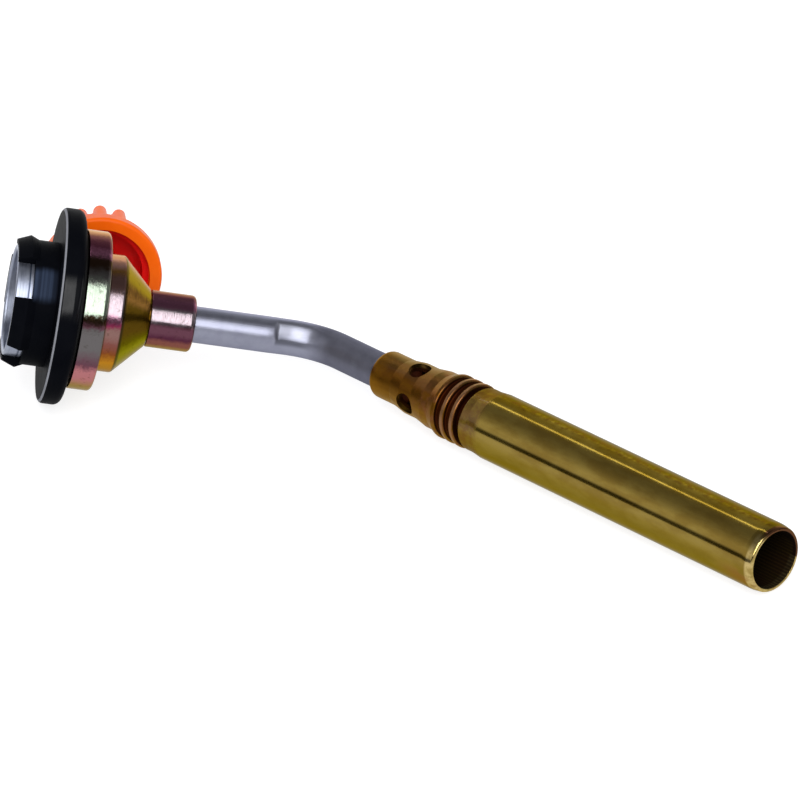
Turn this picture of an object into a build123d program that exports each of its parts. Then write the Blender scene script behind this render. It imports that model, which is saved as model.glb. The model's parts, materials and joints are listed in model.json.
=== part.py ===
from build123d import *

import os
from math import cos, radians, sin, tan

# Brazing torch for a gas cartridge with a claw fitting.
# Lengths are in millimetres and angles in degrees. X is the valve body's axis and runs from the
# cartridge towards the feed tube, with x = 0 at the collar's face that meets the cartridge. The
# knob stands on +Y, the burner bends towards -Y, and Z is square to that bend.
# Round pieces are turned from an outline of places along their axis and radii.

# Fits
fit_gap = 0.05         # radial play between round pieces that are screwed or pressed together
running_gap = 0.08     # radial play of the valve spindle in its bores
overrun = 1.0          # how far a cut runs past the surface that it leaves
half_hexagon_angle = 30.0

# Valve body, a turned and plated casting
base_radius = 17.5
base_length = 5.35
step_radius = 12.9
step_length = 3.8
cone_length = 6.4
cone_lip = 0.15
body_front_round = 0.45
body_edge_round = 0.9
spigot_rise = 0.5      # the spigot's radius over half the nipple's width across flats
nose_length = 6.3
nose_wall = 0.85
boss_radius = 6.0
boss_rise = 1.3
valve_offset = 6.85    # valve axis, measured from the body's face on the cartridge side
tube_socket_depth = 3.7

# Gasket between collar and valve body
gasket_thickness = 0.75
gasket_inset = 1.2

# Cartridge collar, a black moulding with a flange, a hub and hooked claws
flange_overhang = 4.0
flange_thickness = 4.9
flange_edge_round = 1.0
flange_back_round = 1.8
collar_floor = 2.4
hub_length = 5.3
claw_count = 4
claw_angle = 51.0
claw_turn = 5.0        # the claws stand this far round from the main axes
claw_length = 3.7
claw_wall = 1.4
claw_tip_drop = 0.35
hook_height = 0.8
hook_lead = 2.9
hook_back = 1.8

# Cartridge cup, a bright metal liner inside the hub
cup_wall = 1.2
cup_floor = 1.5
cup_lip_round = 0.5

# Collar screws, through the cup's floor into the valve body
screw_count = 3
screw_radius = 1.25
screw_head_radius = 2.0
screw_head_gap = 0.525  # beside a head, to the nipple's flat and to the cup's wall
screw_head_height = 1.3
screw_head_round = 0.5
screw_bite = 4.1
screw_tip_gap = 0.6
screw_slot_width = 0.6
screw_slot_depth = 0.6

# Inlet nipple, which takes the cartridge's stem
nipple_across_flats = 12.0
nipple_head_height = 2.5
nipple_boss_radius = 4.2
nipple_boss_height = 2.2
nipple_edge_round = 0.4
nipple_thread_radius = 4.0
nipple_bore_radius = 1.0
stem_bore_radius = 2.4
stem_bore_depth = 5.2
seal_radius = 2.0
seal_bore_radius = 1.1
seal_thickness = 1.5
filter_thickness = 1.0
chamber_wall = 1.2     # metal left between the filter chamber and the spindle's thread

# Gas passages in the valve body
outlet_radius = 1.2
passage_radius = 0.8
seat_bore_radius = 0.7
seat_land = 1.0
valve_chamber_radius = 2.2
valve_chamber_height = 3.6

# Valve spindle and its seal
spindle_turns = 1.5
thread_pitch = 0.75
needle_half_angle = 30.0
needle_tip_radius = 0.3
needle_radius = 1.6
needle_gap = 0.05
spindle_thread_radius = 2.5
stem_radius = 2.0
piston_length = 3.3
piston_gap = 0.1
piston_rest_gap = 0.3
stop_gap = 0.1
o_ring_section = 0.65
o_ring_squeeze_gap = 0.05
o_ring_groove_play = 0.1
o_ring_groove_radius = 1.9

# Gland that holds the spindle in
gland_washer_thickness = 0.6
gland_thread_radius = 4.2
gland_thread_length = 3.4
gland_across_flats = 10.0
gland_head_height = 3.0
gland_edge_round = 0.4

# Knob, a hollow moulding with a plain rim behind and a lobed grip in front
knob_radius = 13.6
knob_height = 12.6
knob_gap = 3.6         # between the gland nut and the knob's back face
knob_rim_height = 4.0
knob_rim_wall = 2.7
knob_rim_recess = 3.0
knob_grip_inset = 0.8
knob_grip_wall = 1.6
knob_web = 2.6
knob_edge_round = 0.8
knob_hub_radius = 4.4
knob_hub_inset = 0.6
knob_group_count = 3   # the lobes stand in groups of three, with plain grip between them
knob_lobe_pitch = 22.0
knob_lobe_turn = -7.0  # one group's middle lobe stands this far round from the vertical
knob_lobe_radius = 1.5
knob_lobe_rise = 1.8
knob_lobe_round = 0.4
knob_grip_round = 0.4
knob_screw_recess_radius = 3.6
knob_screw_recess = 1.4
flat_offset = 1.4      # the spindle's driving flat, from its axis
knob_washer_radius = 3.0
knob_washer_thickness = 0.5
knob_screw_radius = 1.2
knob_screw_head_radius = 2.5
knob_screw_head_height = 1.6
knob_screw_length = 5.5
cross_slot_length = 3.8
cross_slot_turn = 45.0
drive_gap = 0.2        # keeps the spindle's end below the knob's screw seat

# Feed tube, drawn round and squeezed at its bend
tube_radius = 4.0
tube_wall = 1.0
tube_straight = 20.9   # from the ferrule to the bend
tube_squeeze_length = 5.0
bend_radius = 15.0
bend_angle = 50.9
tube_tail = 13.9       # from the bend to the burner
squeeze_share = 0.89   # the squeezed tube's height over its width
tube_insert = 7.7      # how far the tube reaches into the burner
tube_recover_length = 1.2

# Ferrule nut and its olive
ferrule_wall = 1.3
ferrule_length = 10.0
ferrule_gap = 0.3
ferrule_end_wall = 1.8
ferrule_edge_round = 1.0
ferrule_back_round = 0.3
olive_chamfer = 0.4

# Jet and its holder in the tube's end
holder_depth = 5.0
holder_flange = 0.8
jet_filter_radius = 1.55
jet_filter_length = 1.5
jet_thread_radius = 1.5
jet_thread_length = 3.2
jet_head_radius = 1.9
jet_head_height = 1.3
jet_bore_radius = 0.8
jet_hole_radius = 0.15
jet_hole_length = 0.6

# Burner body, which draws in the air
burner_rear_wall = 1.3
burner_rear_round = 1.2
burner_rear_length = 6.8
burner_waist_rise = 0.6
burner_waist_start = 10.2
burner_waist_end = 13.8
shoulder_end = 17.5
shoulder_drop = 0.75
head_start = 21.7
head_foot_length = 2.0
head_end = 28.4
head_inset = 0.15      # how far the head stays inside the flame tube's radius
ridge_round = 0.4
groove_count = 2
groove_width = 1.7
groove_depth = 0.95
groove_pitch = 2.9
groove_round = 0.35
air_hole_count = 4
air_hole_radius = 2.5
air_hole_place = 12.1
air_hole_turn = 24.0
throat_start = 16.0
throat_radius = 2.9
throat_end = 24.0
spigot_wall = 1.4
spigot_reach = 5.4     # of the burner's spigot into the flame tube

# Flame tube and the holder that keeps the flame inside it
flame_radius = 7.5
flame_wall = 1.1
neck_gap = 1.5        # between the head and the flame tube
neck_drop = 0.35
neck_length = 2.2
neck_rise_length = 3.0
flame_length = 87.3
neck_round = 0.4
flame_lip_length = 2.2  # the mouth draws in over this length
flame_lip_drop = 0.35
flame_lip_bend_round = 6.0
flame_lip_round = 0.55
flame_bore_round = 0.15
seat_step = 0.25
flame_holder_place = 11.0
flame_holder_thickness = 3.5
flame_port_count = 8
flame_port_radius = 0.9
flame_port_ring_share = 0.68
flame_pilot_radius = 1.6

# Places along the valve body's axis
collar_floor_face = flange_thickness - collar_floor
cup_floor_face = collar_floor_face - cup_floor
claw_tip = -hub_length - claw_length
body_start = flange_thickness + gasket_thickness
base_end = body_start + base_length
step_end = base_end + step_length
cone_end = step_end + cone_length
nose_end = cone_end + nose_length
tube_start = cone_end - tube_socket_depth
valve_x = body_start + valve_offset
ferrule_start = cone_end + ferrule_gap
ferrule_end = ferrule_start + ferrule_length
bend_start = ferrule_end + tube_straight
spindle_bore_radius = spindle_thread_radius + running_gap
chamber_floor = valve_x - spindle_bore_radius - chamber_wall
nipple_end = chamber_floor - filter_thickness
nipple_mouth = cup_floor_face - nipple_head_height - nipple_boss_height
stem_bore_end = nipple_mouth + stem_bore_depth

# Radii that follow from the pieces inside
tube_bore_radius = tube_radius + fit_gap
nose_radius = tube_bore_radius + nose_wall
ferrule_bore_radius = nose_radius + fit_gap
ferrule_radius = ferrule_bore_radius + ferrule_wall
head_radius = flame_radius - head_inset
cone_end_radius = ferrule_radius + cone_lip
flange_radius = base_radius + flange_overhang
spigot_radius = nipple_across_flats / 2 + spigot_rise
screw_circle = nipple_across_flats / 2 + screw_head_gap + screw_head_radius
cup_bore_radius = screw_circle + screw_head_radius + screw_head_gap
cup_radius = cup_bore_radius + cup_wall
hub_radius = cup_radius + fit_gap + claw_wall
piston_radius = o_ring_groove_radius + 2 * o_ring_section + 2 * o_ring_squeeze_gap - piston_gap
seal_bore_wall = piston_radius + piston_gap

# Heights along the valve axis, from the body's axis up to the knob
seat_height = -outlet_radius
inlet_passage_height = seat_height - seat_land - passage_radius
boss_top = base_radius + boss_rise
gland_bottom = boss_top - gland_thread_length
gland_washer_face = gland_bottom - gland_washer_thickness
spindle_travel = spindle_turns * thread_pitch
piston_top = gland_washer_face - spindle_travel - stop_gap
piston_bottom = piston_top - piston_length
seal_bore_floor = piston_bottom - piston_rest_gap
o_ring_height = (piston_top + piston_bottom) / 2
gland_top = boss_top + gland_head_height
knob_back = gland_top + knob_gap
knob_front = knob_back + knob_height
knob_hub_face = knob_back + knob_hub_inset
knob_web_back = knob_front - knob_web
knob_screw_seat = knob_front - knob_screw_recess
spindle_end = knob_screw_seat - drive_gap
knob_washer_top = knob_screw_seat + knob_washer_thickness

# Places along the burner's axis, from its rear face
tube_end = tube_insert
holder_end = tube_end + holder_flange
flame_start = head_end + neck_gap
neck_end = flame_start + neck_length
full_tube_start = neck_end + neck_rise_length
flame_mouth = flame_start + flame_length
holder_seat = flame_start + flame_holder_place
holder_seat_end = holder_seat + flame_holder_thickness

# Frames in which the valve's and the burner's pieces are turned along their own X axis
burner_direction = Vector(cos(radians(bend_angle)), -sin(radians(bend_angle)), 0)
bend_corner = Vector(bend_start + bend_radius * tan(radians(bend_angle / 2)), 0, 0)
burner_rear = bend_corner + burner_direction * (bend_radius * tan(radians(bend_angle / 2)) + tube_tail)
valve_frame = Plane(origin=(valve_x, 0, 0), x_dir=(0, 1, 0), z_dir=(0, 0, 1)).location
burner_frame = Plane(origin=burner_rear, x_dir=burner_direction, z_dir=(0, 0, 1)).location


def turned(*corners):
    """Solid turned about X; a corner is (place, radius) or (place, radius, rounding)."""
    points = [corner[:2] for corner in corners]
    rounds = [corner[2] if len(corner) > 2 else 0 for corner in corners]
    if any(rounds):
        return revolve(make_face(FilletPolyline(*points, radius=rounds, close=True)), Axis.X)
    return revolve(make_face(Polyline(*points, close=True)), Axis.X)


def rod(start, end, radius):
    """Plain cylinder along X."""
    return turned((start, 0), (start, radius), (end, radius), (end, 0))


def ring(start, end, inner, outer):
    """Plain ring along X."""
    return turned((start, inner), (start, outer), (end, outer), (end, inner))


def hexagon(start, end, across_flats, edge_round):
    """Hexagonal head along X, its corners turned off at the end that is given last."""
    outline = RegularPolygon(across_flats / 2, 6, major_radius=False, rotation=half_hexagon_angle)
    blank = extrude(Plane.YZ.offset(start) * outline, end - start)
    corner_radius = across_flats / 2 / cos(radians(half_hexagon_angle))
    return blank & turned((start, 0), (start, corner_radius), (end, corner_radius, edge_round), (end, 0))


def around(count, turn=0.0):
    """Turns about X that spread a count of copies evenly round a circle."""
    return [Rot(X=turn + 360 * index / count) for index in range(count)]


def bayonet_collar():
    """Flange, hub and hooked claws in one moulding, with a seat for the cup."""
    bore = cup_radius + fit_gap
    hook_peak = claw_tip + hook_lead
    hook_foot = hook_peak + hook_back
    clear_radius = hub_radius + hook_height + overrun
    body = turned(
        (claw_tip, bore),
        (claw_tip, hub_radius - claw_tip_drop),
        (hook_peak, hub_radius + hook_height),
        (hook_foot, hub_radius),
        (0, hub_radius),
        (0, flange_radius, flange_edge_round),
        (flange_thickness, flange_radius, flange_back_round),
        (flange_thickness, spigot_radius + fit_gap),
        (collar_floor_face, spigot_radius + fit_gap),
        (collar_floor_face, bore),
    )
    gap_outline = Polyline(
        (claw_tip - overrun, bore - overrun),
        (claw_tip - overrun, clear_radius),
        (hook_foot, clear_radius),
        (hook_foot, hub_radius),
        (-hub_length, hub_radius),
        (-hub_length, bore - overrun),
        close=True,
    )
    gap = revolve(make_face(gap_outline), Axis.X, 360 / claw_count - claw_angle)
    for turn in around(claw_count, claw_turn + claw_angle / 2):
        body -= turn * gap
    screw_hole = rod(collar_floor_face - overrun, flange_thickness + overrun, screw_radius + fit_gap)
    for place in screw_places():
        body -= place * screw_hole
    return body


def screw_places():
    """Where the collar screws stand, over the flats of the nipple's head."""
    return [turn * Pos(Y=screw_circle) for turn in around(screw_count, 2 * half_hexagon_angle)]


def cartridge_cup():
    """Bright cup inside the hub, open to the cartridge."""
    cup = turned(
        (claw_tip, cup_bore_radius, cup_lip_round),
        (claw_tip, cup_radius, cup_lip_round),
        (collar_floor_face, cup_radius),
        (collar_floor_face, nipple_thread_radius + fit_gap),
        (cup_floor_face, nipple_thread_radius + fit_gap),
        (cup_floor_face, cup_bore_radius),
    )
    screw_hole = rod(cup_floor_face - overrun, collar_floor_face + overrun, screw_radius + fit_gap)
    for place in screw_places():
        cup -= place * screw_hole
    return cup


def collar_screws():
    """Slotted screws that clamp cup, collar and gasket to the valve body."""
    head_top = cup_floor_face - screw_head_height
    screw = turned(
        (head_top, 0),
        (head_top, screw_head_radius, screw_head_round),
        (cup_floor_face, screw_head_radius),
        (cup_floor_face, screw_radius),
        (body_start + screw_bite, screw_radius),
        (body_start + screw_bite, 0),
    )
    slot = Pos(X=head_top) * Box(2 * screw_slot_depth, screw_slot_width, 2 * screw_head_radius + overrun)
    screw -= slot
    return Compound([place * screw for place in screw_places()])


def inlet_nipple():
    """Screwed nipple whose boss takes the cartridge's stem."""
    head_face = cup_floor_face - nipple_head_height
    head = hexagon(cup_floor_face, head_face, nipple_across_flats, nipple_edge_round)
    boss = turned(
        (nipple_mouth, 0),
        (nipple_mouth, nipple_boss_radius, nipple_edge_round),
        (cup_floor_face, nipple_boss_radius),
        (cup_floor_face, 0),
    )
    thread = rod(cup_floor_face, nipple_end, nipple_thread_radius)
    bore = rod(nipple_mouth - overrun, stem_bore_end, stem_bore_radius)
    seat = rod(stem_bore_end, stem_bore_end + seal_thickness, seal_radius + fit_gap)
    passage = rod(stem_bore_end, nipple_end + overrun, nipple_bore_radius)
    return head + boss + thread - bore - seat - passage


def inlet_seal():
    """Rubber ring at the bottom of the stem's bore."""
    return ring(stem_bore_end, stem_bore_end + seal_thickness, seal_bore_radius, seal_radius)


def inlet_filter():
    """Sintered disc between the nipple and the chamber's floor."""
    return rod(nipple_end, chamber_floor, nipple_thread_radius)


def body_gasket():
    """Dark gasket between the collar and the valve body."""
    gasket = ring(flange_thickness, body_start, spigot_radius + fit_gap, base_radius - gasket_inset)
    screw_hole = rod(flange_thickness - overrun, body_start + overrun, screw_radius + fit_gap)
    for place in screw_places():
        gasket -= place * screw_hole
    return gasket


def valve_body():
    """Stepped body with the knob's boss, the gas passages and the nose for the ferrule."""
    body = turned(
        (collar_floor_face, 0),
        (collar_floor_face, spigot_radius),
        (body_start, spigot_radius),
        (body_start, base_radius, body_front_round),
        (base_end, base_radius, body_edge_round),
        (base_end, step_radius),
        (step_end, step_radius, body_edge_round),
        (cone_end, cone_end_radius),
        (cone_end, nose_radius),
        (nose_end, nose_radius),
        (nose_end, 0),
    )
    body += valve_frame * rod(0, boss_top, boss_radius)
    passage_end = valve_x + passage_radius
    bores = [
        rod(collar_floor_face - overrun, chamber_floor, nipple_thread_radius + fit_gap),
        rod(tube_start, nose_end + overrun, tube_bore_radius),
        rod(valve_x, tube_start + overrun, outlet_radius),
        Pos(Y=inlet_passage_height) * rod(chamber_floor - overrun, passage_end, passage_radius),
        valve_frame * rod(inlet_passage_height, seat_height + overrun, seat_bore_radius),
        valve_frame * rod(seat_height, valve_chamber_height, valve_chamber_radius),
        valve_frame * rod(valve_chamber_height, seal_bore_floor, spindle_bore_radius),
        valve_frame * rod(seal_bore_floor, gland_washer_face, seal_bore_wall),
        valve_frame * rod(gland_washer_face, boss_top + overrun, gland_thread_radius + fit_gap),
    ]
    for bore in bores:
        body -= bore
    hole_end = body_start + screw_bite + screw_tip_gap
    screw_hole = rod(body_start - overrun, hole_end, screw_radius + fit_gap)
    for place in screw_places():
        body -= place * screw_hole
    return body


def valve_spindle():
    """Needle, thread, piston with the O-ring's groove, stem and driving flat in one turned piece."""
    slope = tan(radians(needle_half_angle))
    cone_radius_at_seat = seat_bore_radius - needle_gap
    tip = seat_height - (cone_radius_at_seat - needle_tip_radius) / slope
    cone_top = seat_height + (needle_radius - cone_radius_at_seat) / slope
    groove_half_width = o_ring_section + o_ring_groove_play
    spindle = turned(
        (tip, 0),
        (tip, needle_tip_radius),
        (cone_top, needle_radius),
        (valve_chamber_height, needle_radius),
        (valve_chamber_height, spindle_thread_radius),
        (piston_bottom, spindle_thread_radius),
        (piston_bottom, piston_radius),
        (o_ring_height - groove_half_width, piston_radius),
        (o_ring_height - groove_half_width, o_ring_groove_radius),
        (o_ring_height + groove_half_width, o_ring_groove_radius),
        (o_ring_height + groove_half_width, piston_radius),
        (piston_top, piston_radius),
        (piston_top, stem_radius),
        (spindle_end, stem_radius),
        (spindle_end, 0),
    )
    spindle -= driving_flat(knob_hub_face, spindle_end + overrun, flat_offset)
    screw_end = knob_washer_top - knob_screw_length
    spindle -= rod(screw_end, spindle_end + overrun, knob_screw_radius + fit_gap)
    return valve_frame * spindle


def driving_flat(start, end, offset):
    """Block that cuts a flat along a shaft, at an offset from its axis."""
    width = 2 * (stem_radius + overrun)
    centre = Pos((start + end) / 2, offset + width / 2, 0)
    return centre * Box(end - start, width, width)


def spindle_o_ring():
    """Rubber ring in the piston's groove."""
    middle_radius = o_ring_groove_radius + o_ring_squeeze_gap + o_ring_section
    section = Pos(o_ring_height, middle_radius) * Circle(o_ring_section)
    return valve_frame * revolve(section, Axis.X)


def gland_washer():
    """Thin ring under the gland nut, which stops the piston."""
    bore_radius = stem_radius + running_gap
    return valve_frame * ring(gland_washer_face, gland_bottom, bore_radius, gland_thread_radius)


def gland_nut():
    """Hexagonal nut that screws into the boss around the spindle."""
    head = hexagon(boss_top, gland_top, gland_across_flats, gland_edge_round)
    nut = head + rod(gland_bottom, boss_top, gland_thread_radius)
    nut -= rod(gland_bottom - overrun, gland_top + overrun, stem_radius + running_gap)
    return valve_frame * nut


def knob():
    """Hollow knob: a plain rim behind, a lobed grip in front, and a hub with a flat in its bore."""
    rim_end = knob_back + knob_rim_height
    grip_radius = knob_radius - knob_grip_inset
    plain_radius = grip_radius - knob_lobe_rise
    grip_bore = plain_radius - knob_grip_wall
    lobe_circle = grip_radius - knob_lobe_radius
    lobe = Rot(Z=180) * Circle(knob_lobe_radius)
    outline = Circle(plain_radius)
    for turn in (-knob_lobe_pitch, 0, knob_lobe_pitch):
        outline += PolarLocations(lobe_circle, knob_group_count, turn) * lobe
    outline = fillet(outline.vertices(), knob_lobe_round)
    grip = extrude(Plane.YZ.offset(rim_end) * outline, knob_front - rim_end)
    grip = fillet(grip.edges().group_by(Axis.X)[-1], knob_grip_round)
    grip = Rot(X=90 + knob_lobe_turn) * grip
    rim = turned(
        (knob_back, 0),
        (knob_back, knob_radius, knob_edge_round),
        (rim_end, knob_radius, knob_edge_round),
        (rim_end, 0),
    )
    hollow = turned(
        (knob_back - overrun, knob_hub_radius),
        (knob_back - overrun, knob_radius - knob_rim_wall),
        (knob_back + knob_rim_recess, knob_radius - knob_rim_wall),
        (knob_back + knob_rim_recess, grip_bore),
        (knob_web_back, grip_bore),
        (knob_web_back, knob_hub_radius),
    )
    drive_bore = rod(knob_hub_face - overrun, knob_front, stem_radius + fit_gap)
    drive_bore -= driving_flat(knob_hub_face - 2 * overrun, knob_front + overrun, flat_offset + fit_gap)
    moulding = rim + grip - hollow
    moulding -= rod(knob_back - overrun, knob_hub_face, knob_hub_radius + fit_gap)
    moulding -= rod(knob_screw_seat, knob_front + overrun, knob_screw_recess_radius)
    return valve_frame * (moulding - drive_bore)


def knob_washer():
    """Washer under the knob screw's head."""
    bore_radius = knob_screw_radius + fit_gap
    return valve_frame * ring(knob_screw_seat, knob_washer_top, bore_radius, knob_washer_radius)


def knob_screw():
    """Cross-slotted screw that holds the knob on the spindle."""
    head_top = knob_washer_top + knob_screw_head_height
    screw = turned(
        (knob_washer_top - knob_screw_length, 0),
        (knob_washer_top - knob_screw_length, knob_screw_radius),
        (knob_washer_top, knob_screw_radius),
        (knob_washer_top, knob_screw_head_radius),
        (head_top, knob_screw_head_radius, screw_head_round),
        (head_top, 0),
    )
    slot = Box(2 * screw_slot_depth, screw_slot_width, cross_slot_length)
    for turn in (cross_slot_turn, -cross_slot_turn):
        screw -= Pos(X=head_top) * Rot(X=turn) * slot
    return valve_frame * screw


def tube_ferrule():
    """Round nut on the body's nose, which holds the feed tube."""
    return turned(
        (ferrule_start, ferrule_bore_radius),
        (ferrule_start, ferrule_radius, ferrule_back_round),
        (ferrule_end, ferrule_radius, ferrule_edge_round),
        (ferrule_end, tube_bore_radius),
        (ferrule_end - ferrule_end_wall, tube_bore_radius),
        (ferrule_end - ferrule_end_wall, ferrule_bore_radius),
    )


def tube_olive():
    """Soft ring that the ferrule squeezes against the nose."""
    olive_end = ferrule_end - ferrule_end_wall
    return turned(
        (nose_end, tube_bore_radius),
        (nose_end, nose_radius - olive_chamfer),
        (nose_end + olive_chamfer, nose_radius),
        (olive_end - olive_chamfer, nose_radius),
        (olive_end, nose_radius - olive_chamfer),
        (olive_end, tube_bore_radius),
    )


def tube_run(radius, end_overrun):
    """Solid along the whole tube: round, squeezed over a short length, bent, and round again."""
    high = radius * squeeze_share
    squeeze_start = bend_start - tube_squeeze_length
    straight = rod(tube_start - end_overrun, squeeze_start, radius)
    round_section = Plane.YZ.offset(squeeze_start) * Circle(radius)
    flat_section = Plane.YZ.offset(bend_start) * Ellipse(radius, high)
    bend_axis = Axis((bend_start, -bend_radius, 0), (0, 0, -1))
    bend = revolve(flat_section, bend_axis, bend_angle)
    tail_section = Plane.YZ.offset(-tube_tail) * Ellipse(radius, high)
    tail = extrude(tail_section, tube_tail - tube_recover_length)
    tail_end_section = Plane.YZ.offset(-tube_recover_length) * Ellipse(radius, high)
    tail += loft([tail_end_section, Plane.YZ * Circle(radius)])
    tail += rod(0, tube_end + end_overrun, radius)
    return straight + loft([round_section, flat_section]) + bend + burner_frame * tail


def feed_tube():
    """Bent tube from the valve body to the burner."""
    return tube_run(tube_radius, 0) - tube_run(tube_radius - tube_wall, overrun)


def jet_holder():
    """Plug in the tube's end that carries the jet and its filter."""
    plug_start = tube_end - holder_depth
    plug = rod(plug_start, tube_end, tube_radius - tube_wall - fit_gap)
    plug += rod(tube_end, holder_end, tube_radius)
    plug -= rod(plug_start - overrun, plug_start + jet_filter_length, jet_filter_radius + fit_gap)
    plug -= rod(plug_start, holder_end - jet_thread_length, jet_bore_radius)
    plug -= rod(holder_end - jet_thread_length, holder_end + overrun, jet_thread_radius + fit_gap)
    return burner_frame * plug


def jet_filter():
    """Sintered plug ahead of the jet."""
    plug_start = tube_end - holder_depth
    return burner_frame * rod(plug_start, plug_start + jet_filter_length, jet_filter_radius)


def gas_jet():
    """Small jet with a fine hole in its head."""
    jet_start = holder_end - jet_thread_length
    jet_top = holder_end + jet_head_height
    jet = rod(jet_start, holder_end, jet_thread_radius) + rod(holder_end, jet_top, jet_head_radius)
    jet -= rod(jet_start - overrun, jet_top - jet_hole_length, jet_bore_radius)
    jet -= rod(jet_start, jet_top + overrun, jet_hole_radius)
    return burner_frame * jet


def groove_corners():
    """Corners of the rounded grooves in the burner's head, from its rear to its front."""
    floor = head_radius - groove_depth
    corners = []
    for index in range(groove_count, 0, -1):
        start = head_end - groove_pitch * index
        corners.append((start, head_radius, ridge_round))
        corners.append((start, floor, groove_round))
        corners.append((start + groove_width, floor, groove_round))
        corners.append((start + groove_width, head_radius, ridge_round))
    return corners


def burner_body():
    """Brass body with air holes, a throat, grooves and the spigot for the flame tube."""
    rear_radius = tube_bore_radius + burner_rear_wall
    shoulder_radius = head_radius - shoulder_drop
    spigot_end = flame_start + spigot_reach
    diffuser_radius = spigot_fit_radius() - spigot_wall
    body = turned(
        (0, 0),
        (0, rear_radius, burner_rear_round),
        (burner_rear_length, rear_radius),
        (burner_waist_start, rear_radius + burner_waist_rise),
        (burner_waist_end, rear_radius + burner_waist_rise),
        (shoulder_end, shoulder_radius),
        (head_start - head_foot_length, shoulder_radius),
        (head_start, head_radius),
        *groove_corners(),
        (head_end, head_radius, ridge_round),
        (head_end, spigot_fit_radius()),
        (spigot_end, spigot_fit_radius()),
        (spigot_end, 0),
    )
    bore = turned(
        (-overrun, 0),
        (-overrun, tube_bore_radius),
        (throat_start - (tube_bore_radius - throat_radius), tube_bore_radius),
        (throat_start, throat_radius),
        (throat_end, throat_radius),
        (spigot_end, diffuser_radius),
        (spigot_end + overrun, diffuser_radius),
        (spigot_end + overrun, 0),
    )
    body -= bore
    hole = extrude(Plane.XY * Pos(air_hole_place, 0) * Circle(air_hole_radius), head_radius + overrun)
    for turn in around(air_hole_count, air_hole_turn):
        body -= turn * hole
    return burner_frame * body


def spigot_fit_radius():
    """Radius of the burner's spigot inside the flame tube's neck."""
    return flame_radius - neck_drop - flame_wall - fit_gap


def flame_tube():
    """Polished tube, swaged to a neck behind and rounded at its mouth."""
    neck_radius = flame_radius - neck_drop
    neck_bore = neck_radius - flame_wall
    bore = flame_radius - flame_wall
    tube = turned(
        (flame_start, neck_bore),
        (flame_start, neck_radius, neck_round),
        (neck_end, neck_radius, neck_rise_length),
        (full_tube_start, flame_radius, neck_rise_length),
        (flame_mouth - flame_lip_length, flame_radius, flame_lip_bend_round),
        (flame_mouth, flame_radius - flame_lip_drop, flame_lip_round),
        (flame_mouth, bore, flame_bore_round),
        (holder_seat_end, bore),
        (holder_seat_end, bore - seat_step),
        (holder_seat, bore - seat_step),
        (holder_seat, neck_bore),
    )
    return burner_frame * tube


def flame_holder():
    """Drilled disc behind which the flame burns."""
    radius = flame_radius - flame_wall - seat_step - fit_gap
    disc = rod(holder_seat, holder_seat_end, radius)
    disc -= rod(holder_seat - overrun, holder_seat_end + overrun, flame_pilot_radius)
    port = rod(holder_seat - overrun, holder_seat_end + overrun, flame_port_radius)
    for turn in around(flame_port_count):
        disc -= turn * Pos(Y=radius * flame_port_ring_share) * port
    return burner_frame * disc


nodes = {
    "bayonet_collar": bayonet_collar,
    "cartridge_cup": cartridge_cup,
    "collar_screws": collar_screws,
    "inlet_nipple": inlet_nipple,
    "inlet_seal": inlet_seal,
    "inlet_filter": inlet_filter,
    "body_gasket": body_gasket,
    "valve_body": valve_body,
    "valve_spindle": valve_spindle,
    "spindle_o_ring": spindle_o_ring,
    "gland_washer": gland_washer,
    "gland_nut": gland_nut,
    "knob": knob,
    "knob_washer": knob_washer,
    "knob_screw": knob_screw,
    "tube_ferrule": tube_ferrule,
    "tube_olive": tube_olive,
    "feed_tube": feed_tube,
    "jet_holder": jet_holder,
    "jet_filter": jet_filter,
    "gas_jet": gas_jet,
    "burner_body": burner_body,
    "flame_holder": flame_holder,
    "flame_tube": flame_tube,
}

os.makedirs("parts", exist_ok=True)
for name, build in nodes.items():
    export_step(build(), f"parts/{name}.step")
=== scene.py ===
# %% [markdown]
# # A brazing torch
# This notebook dresses a gas torch: a valve head with an orange knob and a black clawed collar, a bent
# feed tube, and a brass burner with a long flame tube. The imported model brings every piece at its
# real size. Blender adds the finishes, rebuilds the pieces whose form is softer than a turned solid,
# and lights the whole as on a white table.

import json
from math import atan2, cos, degrees, pi, radians, sin, tan

import bmesh
import bpy
from mathutils import Matrix, Vector


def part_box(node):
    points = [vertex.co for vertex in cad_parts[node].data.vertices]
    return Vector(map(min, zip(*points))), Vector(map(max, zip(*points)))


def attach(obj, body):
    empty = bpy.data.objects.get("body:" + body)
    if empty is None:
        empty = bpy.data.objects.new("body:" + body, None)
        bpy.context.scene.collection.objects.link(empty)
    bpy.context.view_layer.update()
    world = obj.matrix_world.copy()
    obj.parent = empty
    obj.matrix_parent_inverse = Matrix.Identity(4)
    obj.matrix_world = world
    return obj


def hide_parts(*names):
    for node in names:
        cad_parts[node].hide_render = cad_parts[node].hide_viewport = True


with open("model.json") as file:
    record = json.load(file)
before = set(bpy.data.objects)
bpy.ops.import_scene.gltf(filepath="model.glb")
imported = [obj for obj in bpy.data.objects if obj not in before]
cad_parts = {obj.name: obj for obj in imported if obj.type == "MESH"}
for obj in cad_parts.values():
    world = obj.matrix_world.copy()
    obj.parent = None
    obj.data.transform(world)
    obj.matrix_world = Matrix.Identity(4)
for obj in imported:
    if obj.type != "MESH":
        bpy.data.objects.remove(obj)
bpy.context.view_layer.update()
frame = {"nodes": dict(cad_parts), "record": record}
nodes = frame["nodes"]
mm = 0.001
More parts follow.
